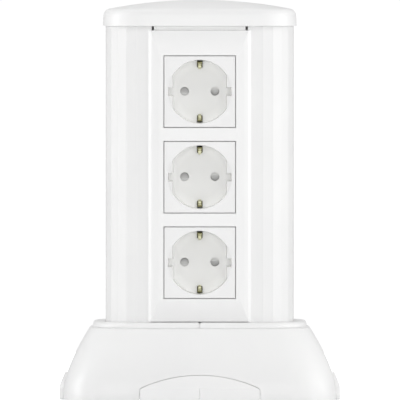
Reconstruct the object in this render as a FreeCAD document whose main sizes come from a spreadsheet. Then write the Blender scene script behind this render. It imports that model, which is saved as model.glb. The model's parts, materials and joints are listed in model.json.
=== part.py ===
import FreeCAD, Part
import math
import os
import re
import Sketcher

# Mini power column: a rounded aluminium column on a sloped base, with three shuttered sockets
# in a front plate. Millimetres, +Z up, the front faces -Y, origin under the middle of the base.

SIZES = (
    ("column_width", 118, "column from side to side"),
    ("column_depth", 84, "column from front to back"),
    ("column_corner", 26, "radius round the facets of the column's corners"),
    ("column_wall", 2.2, "outer wall of the column"),
    ("column_length", 232.5, "column above the base plate"),
    ("channel_width", 60.2, "front channel of the column"),
    ("channel_depth", 46, "front channel, from the front face to its back wall"),
    ("web", 2, "inner walls of the column"),
    ("port_reach", 15, "screw ports, outward from the centre of the corner radius"),
    ("port_wall", 1.6, "wall round a screw port"),
    ("port_bore", 4.2, "bore of a screw port"),
    ("carrier_groove", 1, "depth of the grooves that hold the device carrier"),
    ("carrier_groove_setback", 12, "carrier grooves behind the front face"),
    ("plate_groove", 0.7, "depth of the grooves that hold the front plate"),
    ("plate_groove_setback", 4.2, "front plate grooves behind the front face"),
    ("slide_gap", 0.2, "clearance of parts that slide or snap together"),
    ("cut_past", 1, "how far a cut runs past what it cuts"),
    ("cap_overhang", 1.85, "cap beyond the column on each side"),
    ("cap_gap", 0.25, "clearance round the column inside the cap"),
    ("cap_overlap", 2.8, "cap below the upper end of the column"),
    ("cap_side", 10, "side of the cap up to where it would meet the dome"),
    ("cap_draft", 3.5, "lean of the cap's side, in degrees"),
    ("cap_rise", 6.2, "rise of the dome"),
    ("cap_rounding", 4.4, "rounding between the side and the dome"),
    ("cap_lip", 0.25, "bevel of the lower edge of the cap"),
    ("cap_roof", 2.2, "thickness of the cap's roof at its rim"),
    ("peg_length", 12, "pegs of the cap in the screw ports"),
    ("peg_fit", 0.08, "radial clearance of a peg or screw in its port"),
    ("plate_width", 64.3, "front plate from side to side"),
    ("plate_foot_gap", 0.1, "gap between the collar and the front plate"),
    ("plate_head_gap", 2.5, "gap between the front plate and the cap"),
    ("plate_thickness", 3.6, "front plate in front of the column"),
    ("plate_skin", 2, "wall of the front plate behind its face"),
    ("plate_side_edge", 1.9, "width of the steep edge at the sides"),
    ("plate_side_rise", 2.2, "height of the steep edge at the sides"),
    ("plate_side_bevel", 7.5, "width of the whole side bevel"),
    ("plate_end_edge", 0.4, "width of the steep edge at the ends"),
    ("plate_end_rise", 1.9, "height of the steep edge at the ends"),
    ("plate_end_bevel", 14.5, "width of the whole end bevel"),
    ("plate_rim", 4.2, "solid rim of the front plate at its sides"),
    ("snap_rib", 1, "thickness of the snap ribs of the front plate"),
    ("snap_reach", 7, "snap ribs behind the front plate"),
    ("module_size", 45, "socket module, nominal side"),
    ("module_gap", 0.36, "gap between a socket cover and the front plate"),
    ("module_pitch", 53.5, "distance from one socket to the next"),
    ("module_offset", 0.55, "middle socket below the middle of the front plate"),
    ("face_setback", 0.4, "socket face behind the face of the front plate"),
    ("cover_thickness", 2.2, "face of a socket cover"),
    ("cover_edge", 0.5, "rounding of the edges of a socket cover"),
    ("cover_leg", 3, "side of a cover leg"),
    ("cover_leg_length", 6, "length of a cover leg"),
    ("cover_leg_place", 19.4, "cover legs from the socket's centre"),
    ("recess_diameter", 39.9, "round plug recess"),
    ("recess_depth", 17.5, "plug recess, from the socket face to its floor"),
    ("recess_flats", 34.2, "distance between the flat sides of the recess"),
    ("recess_draft", 1.8, "slope of the recess wall, in degrees"),
    ("ledge_depth", 0.3, "crescent ledges below the socket face"),
    ("key_height", 5.4, "guide notches at the sides of the recess"),
    ("pot_wall", 1.65, "wall of the socket pot"),
    ("pot_floor", 3, "floor of the socket pot"),
    ("pin_pitch", 19, "distance between the pin holes"),
    ("pin_hole", 5.5, "diameter of a pin hole"),
    ("earth_slot_width", 3.6, "slot of an earth contact"),
    ("earth_slot_inner", 15.1, "inner end of the earth slot"),
    ("earth_slot_outer", 19.8, "outer end of the earth slot"),
    ("earth_strip_width", 3, "width of the earth clip"),
    ("earth_bead_width", 1.9, "width of the bead that touches the plug"),
    ("earth_bead_radius", 1.9, "radius of the bead along the clip"),
    ("earth_strip", 0.8, "thickness of the earth clip"),
    ("earth_arm", 18.5, "outer face of an earth arm from the centre"),
    ("earth_nose", 15, "innermost point of an earth arm"),
    ("earth_touch", 14.1, "innermost point of its bead"),
    ("earth_tip_setback", 4, "tip of an earth contact behind the face"),
    ("earth_nose_setback", 8.5, "nose of an earth contact behind the face"),
    ("earth_bend_setback", 14.5, "first bend of an earth contact behind the face"),
    ("earth_bridge_width", 7, "bridge of the earth clip behind the housing"),
    ("housing_gap", 0.2, "housing inside the module size"),
    ("post_size", 6.3, "side of the housing's corner posts"),
    ("housing_depth", 38.5, "back of the housing behind the socket face"),
    ("shutter_space", 3.6, "depth of the space for the shutter"),
    ("shutter_space_radius", 14.4, "radius of the space for the shutter"),
    ("shutter_thickness", 3.1, "shutter plate"),
    ("shutter_float", 0.25, "play of the shutter along its pivot"),
    ("shutter_hub", 4.2, "radius of the shutter hub"),
    ("shutter_lobe", 4, "radius of a shutter lobe"),
    ("shutter_ramp", 2.4, "depth of the ramp on a shutter lobe"),
    ("shutter_ramp_start", 0.9, "edge of the ramp beside the middle of the pin hole"),
    ("shutter_arm", 5, "width of the arms between hub and lobes"),
    ("pivot_radius", 1.9, "shutter pivot"),
    ("pivot_fit", 0.08, "radial clearance of the shutter on its pivot"),
    ("sleeve_outer", 3.1, "outer radius of a contact sleeve"),
    ("sleeve_inner", 2.45, "inner radius of a contact sleeve"),
    ("sleeve_slit", 0.8, "slit along a contact sleeve"),
    ("slit_end", 2.3, "end of the slit in front of the clamp"),
    ("contact_gap", 0.15, "clearance of a contact in the housing"),
    ("clamp_size", 8, "side of a terminal clamp"),
    ("clamp_depth", 4.6, "thickness of a terminal clamp"),
    ("clamp_setback", 2.2, "clamp behind the back of the housing"),
    ("wire_hole", 1.3, "radius of the wire hole in a clamp"),
    ("wire_height", 2.2, "wire hole above the middle of a clamp"),
    ("screw_shank", 1.5, "radius of a terminal screw"),
    ("screw_head", 2.9, "radius of a terminal screw head"),
    ("screw_head_height", 1.7, "height of a terminal screw head"),
    ("screw_tip_gap", 0.4, "tip of a terminal screw inside its clamp"),
    ("drive_slot", 0.9, "width of a screwdriver slot"),
    ("drive_depth", 0.8, "depth of a screwdriver slot"),
    ("carrier_width", 57.2, "device carrier from side to side"),
    ("carrier_setback", 0.4, "carrier behind the front face of the column"),
    ("carrier_wall", 2, "wall of the device carrier"),
    ("carrier_flange", 16, "depth of the carrier's side flanges"),
    ("carrier_foot", 1.9, "thickness of the carrier's sliding feet"),
    ("carrier_drop", 0.4, "device carrier below the upper end of the column"),
    ("base_width", 170.4, "base shell from side to side"),
    ("base_depth", 136.4, "base shell from front to back"),
    ("base_corner", 28, "corner radius of the base shell in plan"),
    ("base_wall", 2.5, "wall of the base shell"),
    ("base_foot", 0.5, "lower edge of the base shell above the floor"),
    ("base_height", 44.9, "base shell from its lower edge to its flat top"),
    ("base_shoulder", 3, "rounding of the top edge of the base shell"),
    ("skirt_top", 4.6, "upper end of the upright skirt"),
    ("skirt_blend", 36, "radius between the skirt and the slope"),
    ("slope_radius", 145, "radius of the slope"),
    ("slope_start", 21.1, "angle of the slope where the blend ends, in degrees"),
    ("collar_width", 134.4, "collar from side to side"),
    ("collar_height", 3.5, "height of the collar"),
    ("collar_foot", 0.35, "bevel of the collar's lower edge"),
    ("collar_rounding", 2.5, "rounding of the upper edge of the collar"),
    ("collar_gap", 0.3, "gap between the column and the collar"),
    ("collar_seam", 0.3, "seam between the halves of the collar"),
    ("collar_vee", 1.6, "width of the groove along the seam"),
    ("collar_vee_depth", 0.7, "depth of the groove along the seam"),
    ("hatch_width", 75, "cable hatch from side to side"),
    ("hatch_side", 8.1, "height of the upright sides of a hatch"),
    ("hatch_top", 16.5, "top of a hatch"),
    ("hatch_corner", 2, "rounding of the corners of a hatch"),
    ("hatch_proud", 2.75, "hatch in front of the skirt"),
    ("hatch_upright", 8.4, "height of the upright face of a hatch"),
    ("hatch_lean", 3.2, "how far the upper face of a hatch leans back"),
    ("hatch_inside", 4, "depth of a hatch inside the skirt"),
    ("hatch_wall", 1.8, "wall of a hatch"),
    ("hatch_hollow", 3, "depth of the hollow behind a hatch"),
    ("hatch_gap", 0.2, "gap round a hatch"),
    ("hatch_score", 0.9, "width of the break-out groove of a hatch"),
    ("hatch_score_depth", 0.5, "depth of the break-out groove of a hatch"),
    ("tongue_width", 9, "clip tongue of a hatch"),
    ("tongue_reach", 7, "clip tongue over the base plate"),
    ("tongue_place", 24, "clip tongues from the middle of a hatch"),
    ("foot_height", 1.5, "height of the rubber feet"),
    ("foot_radius", 8, "radius of a rubber foot"),
    ("foot_inset_x", 15.2, "centres of the rubber feet inside the base's sides"),
    ("foot_inset_y", 34.2, "centres of the rubber feet inside the base's front and back"),
    ("base_plate", 3, "thickness of the steel base plate"),
    ("floor_hole", 5.5, "diameter of a floor bolt hole"),
    ("floor_inset", 15.2, "floor bolt holes inside the base's sides"),
    ("floor_pitch_y", 40, "floor bolt holes, front to back"),
    ("boss_inset", 22.2, "shell screws inside the base's outline, both ways"),
    ("boss_radius", 4, "screw boss in the base shell"),
    ("boss_height", 31.5, "screw boss in the base shell, above the base plate"),
    ("thread_radius", 2, "radius of the column and shell screws"),
    ("thread_length", 18, "length of the column and shell screws"),
    ("sink_radius", 4, "radius of a countersunk head"),
    ("sink_height", 2, "height of a countersunk head"),
    ("block_width", 36, "terminal block from side to side"),
    ("block_depth", 16, "terminal block from front to back"),
    ("block_height", 15, "height of the terminal block"),
    ("block_step", 11, "distance between the terminals of the block"),
    ("block_setback", 6, "terminal block in front of the column's rear wall"),
    ("block_wire", 1.8, "radius of a wire hole in the block"),
    ("block_wire_height", 5.25, "wire holes above the underside of the block"),
    ("block_screw_depth", 6, "depth of the screw wells in the block"),
)

FACETS = 6
SIDES = (1, -1)
QUARTERS = ((1, 1), (-1, 1), (-1, -1), (1, -1))
DOME_STEPS = (1, 0.8, 0.55, 0.3, 0.12)
OUTER_LEVELS = 5
INNER_LEVELS = 2
INNER_FLATS = 3

vector = FreeCAD.Vector
document = FreeCAD.newDocument("MiniPowerColumn")
sheet = document.addObject("Spreadsheet::Sheet", "Sizes")
for row, (alias, size, meaning) in enumerate(SIZES, start=1):
    sheet.set("A%d" % row, meaning)
    sheet.set("B%d" % row, str(size))
    sheet.setAlias("B%d" % row, alias)
document.recompute()

NAMES = {alias for alias, size, meaning in SIZES}
WORD = re.compile(r"[a-z][a-z_]*")
pieces = []


# Expressions

def bound(text):
    """The expression with each bare size name pointing at the sheet."""
    return WORD.sub(lambda word: "Sizes." + word.group() if word.group() in NAMES else word.group(), text)


def value(text):
    """What an expression of size names comes to."""
    return float(sheet.evalExpression(text))


# Sketches

def new_body(label):
    body = document.addObject("PartDesign::Body", label)
    body.Label = label
    pieces.append(body)
    return body


def place(body, x="0", y="0", z="0"):
    """Bind where a body stands."""
    for axis, text in (("x", x), ("y", y), ("z", z)):
        body.setExpression("Placement.Base." + axis, bound(text))


def sketch_on(body, plane, offset="0"):
    """A sketch on one of the body's own planes, moved along the plane's normal."""
    sketch = body.newObject("Sketcher::SketchObject", body.Name + "_sketch")
    support = [feature for feature in body.Origin.OriginFeatures if feature.Role == plane][0]
    sketch.AttachmentSupport = [(support, "")]
    sketch.MapMode = "FlatFace"
    sketch.setExpression("AttachmentOffset.Base.z", bound(offset))
    return sketch


def tie(sketch, kind, geometry, point, text):
    """A dimension bound to the sheet."""
    size = value(text)
    if point is None:
        number = sketch.addConstraint(Sketcher.Constraint(kind, geometry, size))
    else:
        number = sketch.addConstraint(Sketcher.Constraint(kind, geometry, point, size))
    sketch.setExpression("Constraints[%d]" % number, bound(text))


def arc_between(start, end, radius, turn):
    """The shorter arc from start to end; turn is 1 for anticlockwise and -1 for clockwise."""
    chord = end - start
    rise = math.sqrt(max(radius ** 2 - (chord.Length / 2) ** 2, 0))
    left = vector(-chord.y, chord.x, 0)
    left.normalize()
    centre = (start + end) * 0.5 + left * (turn * rise)
    first, last = (start, end) if turn > 0 else (end, start)
    angles = [math.atan2(point.y - centre.y, point.x - centre.x) for point in (first, last)]
    if angles[1] < angles[0]:
        angles[1] += 2 * math.pi
    circle = Part.Circle(centre, vector(0, 0, 1), radius)
    return Part.ArcOfCircle(circle, angles[0], angles[1])


def contour(sketch, corners, arcs=None):
    """A closed outline through corners; arcs gives an edge's number its radius and its turn."""
    arcs = arcs or {}
    places = [vector(value(x), value(y), 0) for x, y in corners]
    edges = []
    for step, start in enumerate(places):
        end = places[(step + 1) % len(places)]
        if step in arcs:
            radius, turn = arcs[step]
            geometry = sketch.addGeometry(arc_between(start, end, value(radius), turn))
            edges.append((geometry, 1, 2) if turn > 0 else (geometry, 2, 1))
        else:
            edges.append((sketch.addGeometry(Part.LineSegment(start, end)), 1, 2))
    for step, (geometry, head, tail) in enumerate(edges):
        following, joint, unused = edges[(step + 1) % len(edges)]
        sketch.addConstraint(Sketcher.Constraint("Coincident", geometry, tail, following, joint))
    for step, (x, y) in enumerate(corners):
        geometry, head, tail = edges[step]
        tie(sketch, "DistanceX", geometry, head, x)
        tie(sketch, "DistanceY", geometry, head, y)
        if step in arcs:
            tie(sketch, "Radius", geometry, None, arcs[step][0])


def rectangle(sketch, left, right, low, high):
    contour(sketch, [(left, low), (right, low), (right, high), (left, high)])


def box_outline(sketch, half_x, half_y):
    rectangle(sketch, "-(%s)" % half_x, half_x, "-(%s)" % half_y, half_y)


def circle(sketch, x, y, radius):
    centre = vector(value(x), value(y), 0)
    geometry = sketch.addGeometry(Part.Circle(centre, vector(0, 0, 1), value(radius)))
    tie(sketch, "DistanceX", geometry, 3, x)
    tie(sketch, "DistanceY", geometry, 3, y)
    tie(sketch, "Radius", geometry, None, radius)


def rounded(sketch, half_x, half_y, radius):
    """A rectangle about the origin with round corners."""
    corners = []
    arcs = {}
    for side_x, side_y in QUARTERS:
        inner_x = "%d * (%s - (%s))" % (side_x, half_x, radius)
        inner_y = "%d * (%s - (%s))" % (side_y, half_y, radius)
        outer_x = "%d * (%s)" % (side_x, half_x)
        outer_y = "%d * (%s)" % (side_y, half_y)
        along, across = (outer_x, inner_y), (inner_x, outer_y)
        pair = (along, across) if side_x * side_y > 0 else (across, along)
        arcs[len(corners)] = (radius, 1)
        corners.extend(pair)
    contour(sketch, corners, arcs)


def corner_flats(half_x, half_y, radius, count, quarter):
    """The ends of the flats that stand for one round corner of an outline."""
    side_x, side_y = quarter
    turns = range(count + 1)
    if side_x * side_y < 0:
        turns = reversed(turns)
    points = []
    for turn in turns:
        angle = turn * 90 / count
        x = "%d * (%s - %s * (1 - cos(%g)))" % (side_x, half_x, radius, angle)
        y = "%d * (%s - %s * (1 - sin(%g)))" % (side_y, half_y, radius, angle)
        points.append((x, y))
    return points


def faceted(sketch, half_x, half_y, radius, count):
    """A rectangle about the origin whose corners are made of flats."""
    points = []
    for quarter in QUARTERS:
        points.extend(corner_flats(half_x, half_y, radius, count, quarter))
    contour(sketch, points)


# Features

def finish_feature(body, feature, before, grows):
    """Recompute, make the feature the tip and see that it changed the solid."""
    body.Tip = feature
    document.recompute()
    after = body.Shape.Volume
    if (after <= before) if grows else (after >= before):
        raise ValueError("%s changed nothing in %s" % (feature.Name, body.Label))
    return feature


def volume_of(body):
    shape = body.Shape
    return 0 if shape.isNull() else shape.Volume


def pad(body, sketch, length, reverse=False, middle=False, draft=None):
    """Extrude a sketch along its normal, or both ways from its plane."""
    before = volume_of(body)
    feature = body.newObject("PartDesign::Pad", body.Name + "_pad")
    feature.Profile = sketch
    feature.setExpression("Length", bound(length))
    feature.Reversed = reverse
    feature.Midplane = middle
    if draft:
        feature.setExpression("TaperAngle", bound(draft))
    return finish_feature(body, feature, before, True)


def pocket(body, sketch, length, reverse=False, middle=False, draft=None):
    """Cut a sketch against its normal, along it when reversed, or both ways."""
    before = volume_of(body)
    feature = body.newObject("PartDesign::Pocket", body.Name + "_pocket")
    feature.Profile = sketch
    feature.setExpression("Length", bound(length))
    feature.Reversed = reverse
    feature.Midplane = middle
    if draft:
        feature.setExpression("TaperAngle", bound(draft))
    return finish_feature(body, feature, before, False)


def loft(body, sections, cut=False):
    """Join a row of outlines, a hollow by straight lines."""
    before = volume_of(body)
    kind = "SubtractiveLoft" if cut else "AdditiveLoft"
    feature = body.newObject("PartDesign::" + kind, body.Name + "_loft")
    feature.Profile = sections[0]
    feature.Sections = sections[1:]
    feature.Ruled = cut
    return finish_feature(body, feature, before, not cut)


def edge_names(body, test):
    return ["Edge%d" % number for number, edge in enumerate(body.Shape.Edges, start=1) if test(edge)]


def fillet(body, test, radius):
    """Round the edges that pass a test."""
    before = volume_of(body)
    base = (body.Tip, edge_names(body, test))
    feature = body.newObject("PartDesign::Fillet", body.Name + "_fillet")
    feature.Base = base
    feature.setExpression("Radius", bound(radius))
    return finish_feature(body, feature, before, False)


def chamfer(body, test, size):
    """Bevel the edges that pass a test."""
    before = volume_of(body)
    base = (body.Tip, edge_names(body, test))
    feature = body.newObject("PartDesign::Chamfer", body.Name + "_chamfer")
    feature.Base = base
    feature.setExpression("Size", bound(size))
    return finish_feature(body, feature, before, False)


def level_edge(height):
    """A test for edges that lie flat at a height."""
    def test(edge):
        box = edge.BoundBox
        return abs(box.ZMin - height) < 0.02 and abs(box.ZMax - height) < 0.02
    return test


# The column: an extruded section with a front channel, side and rear chambers and screw ports

def column_sizes(grow):
    """Half the width, half the depth and the corner radius of the column, grown outward by a size."""
    return ["(%s + (%s))" % (size, grow) for size in ("column_width / 2", "column_depth / 2", "column_corner")]


def facets(grow, quarter):
    return corner_flats(*column_sizes(grow), FACETS, quarter)


def column_outline(sketch, grow="0"):
    faceted(sketch, *column_sizes(grow), FACETS)


PORT_X = "(column_width / 2 - column_corner + port_reach)"
PORT_Y = "(column_depth / 2 - column_corner + port_reach)"
FRONT = "(-column_depth / 2)"
PLATE_TOP = "(foot_height + base_plate)"
COLUMN_TOP = "(%s + column_length)" % PLATE_TOP
CAP_BOTTOM = "(%s - cap_overlap)" % COLUMN_TOP
CAP_RIM = "(%s + cap_side)" % CAP_BOTTOM
BASE_TOP = "(base_foot + base_height)"
COLLAR_TOP = "(%s + collar_height)" % BASE_TOP
COVER_LOW = "(%s + plate_foot_gap)" % COLLAR_TOP
COVER_HIGH = "(%s - plate_head_gap)" % CAP_BOTTOM
FOOT_X = "(base_width / 2 - foot_inset_x)"
FOOT_Y = "(base_depth / 2 - foot_inset_y)"
BOSS_X = "(base_width / 2 - boss_inset)"
BOSS_Y = "(base_depth / 2 - boss_inset)"


def make_column():
    body = new_body("column_profile")
    length = "column_length"
    outline = sketch_on(body, "XY_Plane", PLATE_TOP)
    column_outline(outline)
    pad(body, outline, length)

    back_wall = "(%s + channel_depth)" % FRONT
    channel = sketch_on(body, "XY_Plane", PLATE_TOP)
    rectangle(channel, "-channel_width / 2", "channel_width / 2", FRONT + " - column_wall", back_wall)
    pocket(body, channel, length, reverse=True)

    rear = sketch_on(body, "XY_Plane", PLATE_TOP)
    rear_start = "(%s + web)" % back_wall
    rear_side = "(column_width / 2 - column_wall)"
    corners = facets("-column_wall", (1, 1)) + facets("-column_wall", (-1, 1))
    contour(rear, [("-" + rear_side, rear_start), (rear_side, rear_start)] + corners)
    pocket(body, rear, length, reverse=True)

    inner_side = "(channel_width / 2 + web)"
    for side in SIDES:
        chamber = sketch_on(body, "XY_Plane", PLATE_TOP)
        flats = facets("-column_wall", (side, -1))
        if side < 0:
            flats.reverse()
        start = [("%d * %s" % (side, inner_side), FRONT + " + column_wall")]
        end = [("%d * %s" % (side, rear_side), back_wall), ("%d * %s" % (side, inner_side), back_wall)]
        contour(chamber, start + flats + end)
        pocket(body, chamber, length, reverse=True)

    ports = sketch_on(body, "XY_Plane", PLATE_TOP)
    bores = sketch_on(body, "XY_Plane", PLATE_TOP)
    for side_x, side_y in QUARTERS:
        spot = ("%d * %s" % (side_x, PORT_X), "%d * %s" % (side_y, PORT_Y))
        circle(ports, spot[0], spot[1], "port_bore / 2 + port_wall")
        circle(bores, spot[0], spot[1], "port_bore / 2")
    pad(body, ports, length)
    pocket(body, bores, length, reverse=True)

    grooves = sketch_on(body, "XY_Plane", PLATE_TOP)
    for side in SIDES:
        for setback, width, depth in (
            ("carrier_groove_setback", "carrier_foot + 2 * slide_gap", "carrier_groove"),
            ("plate_groove_setback", "snap_rib + 2 * slide_gap", "plate_groove"),
        ):
            near = "%d * (channel_width / 2 - web)" % side
            far = "%d * (channel_width / 2 + %s)" % (side, depth)
            low = "%s + %s - slide_gap" % (FRONT, setback)
            left, right = (near, far) if side > 0 else (far, near)
            rectangle(grooves, left, right, low, "%s + %s" % (low, width))
    pocket(body, grooves, length, reverse=True)


# The cap: a rounded rim with a pillow dome, hollow, on four pegs

def make_cap():
    body = new_body("top_cap")
    half_x = "(column_width / 2 + cap_overhang)"
    half_y = "(column_depth / 2 + cap_overhang)"
    corner = "(column_corner + cap_overhang)"
    rim = sketch_on(body, "XY_Plane", CAP_BOTTOM)
    rounded(rim, half_x, half_y, corner)
    pad(body, rim, "cap_side", draft="-cap_draft")
    lean = "cap_side * tan(cap_draft)"
    loft(body, dome_sections(body, ["(%s - %s)" % (size, lean) for size in (half_x, half_y, corner)]))

    shrink = "(cap_overhang - cap_gap)"
    inner_x = "(%s - %s)" % (half_x, shrink)
    inner_y = "(%s - %s)" % (half_y, shrink)
    inner_corner = "(%s - %s)" % (corner, shrink)
    hollow = sketch_on(body, "XY_Plane", CAP_BOTTOM)
    rounded(hollow, inner_x, inner_y, inner_corner)
    pocket(body, hollow, "cap_side - cap_roof", reverse=True)

    seats = sketch_on(body, "XY_Plane", COLUMN_TOP)
    pegs = sketch_on(body, "XY_Plane", COLUMN_TOP)
    for side_x, side_y in QUARTERS:
        spot = ("%d * %s" % (side_x, PORT_X), "%d * %s" % (side_y, PORT_Y))
        circle(seats, spot[0], spot[1], "port_bore / 2 + port_wall")
        circle(pegs, spot[0], spot[1], "port_bore / 2 - peg_fit")
    pad(body, seats, "cap_side - cap_overlap - cap_roof / 2")
    pad(body, pegs, "peg_length", reverse=True)
    fillet(body, level_edge(value(CAP_RIM)), "cap_rounding")
    chamfer(body, outer_lip(half_x, half_y, corner, shrink), "cap_lip")


def outer_lip(half_x, half_y, corner, wall):
    """A test for the lower edges of the cap's outside, not those of its hollow."""
    level = level_edge(value(CAP_BOTTOM))
    straight_x, straight_y = value(half_x) - value(corner), value(half_y) - value(corner)

    def test(edge):
        middle = edge.valueAt((edge.FirstParameter + edge.LastParameter) / 2)
        past_x, past_y = max(abs(middle.x) - straight_x, 0), max(abs(middle.y) - straight_y, 0)
        return level(edge) and math.hypot(past_x, past_y) > value(corner) - value(wall) / 2
    return test


def dome_sections(body, sizes):
    """Rounded outlines that shrink towards the crest, on a parabola."""
    sections = []
    for share in DOME_STEPS:
        level = "%s + cap_rise * (1 - %g)" % (CAP_RIM, share ** 2)
        section = sketch_on(body, "XY_Plane", level)
        rounded(section, *["(%s * %g)" % (size, share) for size in sizes])
        sections.append(section)
    return sections


# The front plate: bevelled on all sides, with a square opening for each socket and two snap ribs

MODULES = (1, 0, -1)
FACE = "(-column_depth / 2 - plate_thickness + face_setback)"


def module_height(step):
    return "((%s + %s) / 2 - module_offset + %d * module_pitch)" % (COVER_LOW, COVER_HIGH, step)


def make_plate():
    body = new_body("front_plate")
    face = "(%s - plate_thickness)" % FRONT
    half = "(plate_width / 2)"
    side_run = "(plate_side_bevel - plate_side_edge)"
    side_fall = "(plate_thickness - plate_side_rise)"
    side_radius = "((%s ^ 2 + %s ^ 2) / (2 * %s))" % (side_run, side_fall, side_fall)
    section = sketch_on(body, "XY_Plane", COVER_LOW)
    contour(section, [
        ("-" + half, FRONT),
        ("-%s + plate_side_edge" % half, FRONT + " - plate_side_rise"),
        ("-%s + plate_side_bevel" % half, face),
        ("%s - plate_side_bevel" % half, face),
        ("%s - plate_side_edge" % half, FRONT + " - plate_side_rise"),
        (half, FRONT),
    ], {1: (side_radius, 1), 3: (side_radius, 1)})
    pad(body, section, "%s - %s" % (COVER_HIGH, COVER_LOW))

    end_run = "(plate_end_bevel - plate_end_edge)"
    end_fall = "(plate_thickness - plate_end_rise)"
    end_radius = "((%s ^ 2 + %s ^ 2) / (2 * %s))" % (end_run, end_fall, end_fall)
    for end, way in ((COVER_LOW, 1), (COVER_HIGH, -1)):
        bevel = sketch_on(body, "YZ_Plane")
        contour(bevel, [
            (FRONT, end),
            (FRONT + " - plate_end_rise", "%s + %d * plate_end_edge" % (end, way)),
            (face, "%s + %d * plate_end_bevel" % (end, way)),
            (face + " - cut_past", "%s + %d * plate_end_bevel" % (end, way)),
            (face + " - cut_past", "%s - %d * cut_past" % (end, way)),
            (FRONT, "%s - %d * cut_past" % (end, way)),
        ], {1: (end_radius, -way)})
        pocket(body, bevel, "plate_width + 2 * cut_past", middle=True)

    back = sketch_on(body, "XZ_Plane", "-" + FRONT)
    rectangle(back, "-%s + plate_rim" % half, half + " - plate_rim",
              COVER_LOW + " + plate_rim", COVER_HIGH + " - plate_rim")
    pocket(body, back, "plate_thickness - plate_skin", reverse=True)

    ribs = sketch_on(body, "XZ_Plane", "-" + FRONT)
    hooks = sketch_on(body, "XZ_Plane", "-(%s + plate_groove_setback)" % FRONT)
    low, high = COVER_LOW + " + plate_rim", COVER_HIGH + " - plate_rim"
    for side in SIDES:
        outer = "%d * (channel_width / 2 - slide_gap)" % side
        inner = "%d * (channel_width / 2 - slide_gap - snap_rib)" % side
        hook = "%d * (channel_width / 2 + plate_groove - slide_gap)" % side
        left, right = (inner, outer) if side > 0 else (outer, inner)
        rectangle(ribs, left, right, low, high)
        left, right = (inner, hook) if side > 0 else (hook, inner)
        rectangle(hooks, left, right, low, high)
    pad(body, ribs, "snap_reach", reverse=True)
    pad(body, hooks, "snap_rib", reverse=True)

    windows = sketch_on(body, "XZ_Plane", "-(%s)" % face)
    opening = "(module_size / 2 + module_gap / 2)"
    for step in MODULES:
        centre = module_height(step)
        low, high = "%s - %s" % (centre, opening), "%s + %s" % (centre, opening)
        rectangle(windows, "-" + opening, opening, low, high)
    pocket(body, windows, "plate_thickness + cut_past")


# The device carrier: a channel strip that slides into the column and holds the sockets

def make_carrier():
    body = new_body("device_carrier")
    front = "(%s + carrier_setback)" % FRONT
    half = "(carrier_width / 2)"
    outline = sketch_on(body, "XY_Plane", COVER_LOW)
    foot_low = "(%s + carrier_groove_setback)" % FRONT
    foot_high = "(%s + carrier_foot)" % foot_low
    foot = "(channel_width / 2 + carrier_groove - slide_gap)"
    back = "(%s + carrier_flange)" % front
    inner = "(%s - carrier_wall)" % half
    right = [
        (half, front),
        (half, foot_low),
        (foot, foot_low),
        (foot, foot_high),
        (half, foot_high),
        (half, back),
        (inner, back),
        (inner, front + " + carrier_wall"),
    ]
    left = [("-" + x, y) for x, y in reversed(right)]
    contour(outline, right + left)
    pad(body, outline, "%s - carrier_drop - %s" % (COLUMN_TOP, COVER_LOW))
    windows = sketch_on(body, "XZ_Plane", "-(%s)" % front)
    opening = "(module_size / 2 - housing_gap + slide_gap)"
    for step in MODULES:
        centre = module_height(step)
        low, high = "%s - %s" % (centre, opening), "%s + %s" % (centre, opening)
        rectangle(windows, "-" + opening, opening, low, high)
    pocket(body, windows, "carrier_wall + cut_past")


# A socket: cover, pot, shutter, housing, two contacts, earth clip and terminal screws

HOUSING_BACK = "(%s + housing_depth)" % FACE
POT_FLOOR = "(%s + recess_depth)" % FACE
POT_BACK = "(%s + pot_floor)" % POT_FLOOR
COVER_BACK = "(%s + cover_thickness)" % FACE
SPACE_BACK = "(%s + shutter_space)" % POT_BACK
CLAMP_BACK = "(%s - clamp_setback)" % HOUSING_BACK
CLAMP_FRONT = "(%s - clamp_depth)" % CLAMP_BACK
POT_RADIUS = "(recess_diameter / 2 + pot_wall)"


def at(y):
    """Offset of a sketch on the upright plane that puts it at a depth."""
    return "-(%s)" % y


def make_cover(name, height):
    body = new_body(name)
    face = sketch_on(body, "XZ_Plane", at(COVER_BACK))
    box_outline(face, "(module_size / 2 - module_gap / 2)", "(module_size / 2 - module_gap / 2)")
    pad(body, face, "cover_thickness")
    front = value(FACE)

    def front_edge(edge):
        box = edge.BoundBox
        return abs(box.YMin - front) < 0.01 and abs(box.YMax - front) < 0.01
    fillet(body, front_edge, "cover_edge")
    hole = sketch_on(body, "XZ_Plane", at(FACE))
    circle(hole, "0", "0", "recess_diameter / 2")
    pocket(body, hole, "cover_thickness + cut_past")
    legs = sketch_on(body, "XZ_Plane", at(COVER_BACK))
    corner_squares(legs, "cover_leg_place - cover_leg / 2", "cover_leg_place + cover_leg / 2")
    pad(body, legs, "cover_leg_length", reverse=True)
    place(body, z=height)


def recess_outline(sketch):
    """A circle with two flat sides, each with a square guide notch in its middle."""
    radius = "(recess_diameter / 2)"
    flat = "(recess_flats / 2)"
    rise = "sqrt(%s ^ 2 - %s ^ 2)" % (radius, flat)
    key = "(key_height / 2)"
    upper = [(radius, key), (flat, key), (flat, rise)]
    right = [(x, "-" + z) for x, z in reversed(upper)] + upper
    left = [("-" + x, "-(%s)" % z) for x, z in right]
    contour(sketch, right + left, {5: (radius, 1), 11: (radius, 1)})


def earth_slots(sketch):
    """The slots at 12 and 6 o'clock."""
    for side in SIDES:
        ends = ["%d * earth_slot_inner" % side, "%d * earth_slot_outer" % side]
        if side < 0:
            ends.reverse()
        rectangle(sketch, "-earth_slot_width / 2", "earth_slot_width / 2", ends[0], ends[1])


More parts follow.
